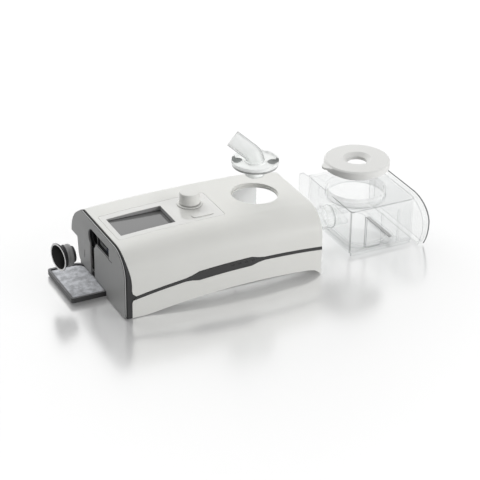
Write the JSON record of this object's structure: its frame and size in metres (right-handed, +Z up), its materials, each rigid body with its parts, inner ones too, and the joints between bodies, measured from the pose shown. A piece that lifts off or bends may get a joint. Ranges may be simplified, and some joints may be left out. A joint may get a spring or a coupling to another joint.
{
  "type": "cpap machine",
  "caption": "Bedside breathing-air machine with a screen, dial and button; its water tank, lid, outlet elbow, filter tray and hose connector stand drawn out.",
  "frame": {"origin": "middle of the ground that the whole laid-out machine covers", "axes": "+X from the side panel to the water tank, +Y from the front to the rear, +Z up"},
  "size_m": [0.4734, 0.1704, 0.17],
  "materials": {
    "shell_white": "satin moulded",
    "panel_grey": "satin moulded",
    "trim_grey": "satin moulded",
    "strip_grey": "glossy",
    "black_plastic": "matte",
    "socket_blue": "matte",
    "liner_grey": "matte",
    "clear_plastic": "clear, polished",
    "screen_glass": "polished",
    "rubber": "matte",
    "filter_felt": "felted",
    "foam": "open foam",
    "circuit_board": "matte",
    "steel": "brushed",
    "aluminium": "satin",
    "lamp": "frosted"
  },
  "bodies": {
    "housing": {"top_housing": "shell_white", "lower_front_cover": "shell_white", "control_overlay": "shell_white", "dial_skirt": "shell_white", "side_panel": "panel_grey", "display_bezel": "panel_grey", "edge_trim": "trim_grey", "front_strip": "strip_grey", "side_port_block": "black_plastic", "display_module": "black_plastic", "dial_encoder": "black_plastic", "button_switch": "black_plastic", "power_inlet": "black_plastic", "card_socket": "socket_blue", "base_tub": "liner_grey", "bay_liner": "liner_grey", "bay_air_port": "liner_grey", "blower_base": "liner_grey", "blower_cover": "liner_grey", "display_lens": "screen_glass", "bay_port_seal": "rubber", "air_duct": "rubber", "rubber_foot_1": "rubber", "rubber_foot_2": "rubber", "rubber_foot_3": "rubber", "rubber_foot_4": "rubber", "blower_mount_1": "rubber", "blower_mount_2": "rubber", "blower_mount_3": "rubber", "muffler_foam": "foam", "control_board": "circuit_board", "main_board": "circuit_board", "blower_motor": "steel", "base_screw_1": "steel", "base_screw_2": "steel", "heater_plate": "aluminium", "indicator_lenses": "lamp"},
    "dial_shaft": {"dial_shaft": "steel"},
    "dial": {"dial_cap": "shell_white"},
    "button": {"power_button": "shell_white"},
    "tray": {"filter_tray": "trim_grey", "filter_pad": "filter_felt"},
    "connector": {"hose_connector": "rubber"},
    "tank": {"tank_body": "clear_plastic", "tank_base_plate": "steel", "tank_plate_grip": "trim_grey", "tank_air_inlet": "clear_plastic", "tank_end_plate": "clear_plastic"},
    "lid": {"tank_lid": "shell_white", "tank_lid_seal": "rubber"},
    "elbow": {"elbow_flange": "clear_plastic", "elbow_seal": "rubber"},
    "outlet": {"elbow_tube": "clear_plastic"},
    "impeller": {"impeller": "liner_grey"}
  },
  "joints": [
    {"name": "dial_press", "type": "slide", "parent": "housing", "child": "dial_shaft", "axis": [0, 0, 1], "range_m": [-0.0007, 0], "stiffness_N_per_m": 900},
    {"name": "dial_turn", "type": "hinge", "parent": "dial_shaft", "child": "dial", "pos_m": [-0.06167, 0.0004, 0.1], "axis": [0, 0, 1], "continuous": true},
    {"name": "button_press", "type": "slide", "parent": "housing", "child": "button", "axis": [0, 0, 1], "range_m": [-0.0008, 0], "stiffness_N_per_m": 900},
    {"name": "tray_slide", "type": "slide", "parent": "housing", "child": "tray", "axis": [1, 0, 0], "range_m": [0, 0.0443]},
    {"name": "connector_seat", "type": "slide", "parent": "housing", "child": "connector", "axis": [0.9177, 0.25, 0.3088], "range_m": [0, 0.034]},
    {"name": "tank_slide", "type": "slide", "parent": "housing", "child": "tank", "axis": [1, 0, 0], "range_m": [-0.1464, 0]},
    {"name": "lid_lift", "type": "slide", "parent": "tank", "child": "lid", "axis": [0, 0, 1], "range_m": [-0.0325, 0]},
    {"name": "elbow_lift", "type": "slide", "parent": "housing", "child": "elbow", "axis": [0, 0, 1], "range_m": [-0.0468, 0]},
    {"name": "elbow_swivel", "type": "hinge", "parent": "elbow", "child": "outlet", "pos_m": [0.02503, -0.006, 0.135], "axis": [0, 0, 1], "continuous": true},
    {"name": "impeller_spin", "type": "hinge", "parent": "housing", "child": "impeller", "pos_m": [-0.11397, -0.034, 0.032], "axis": [0, 0, 1], "continuous": true}
  ]
}
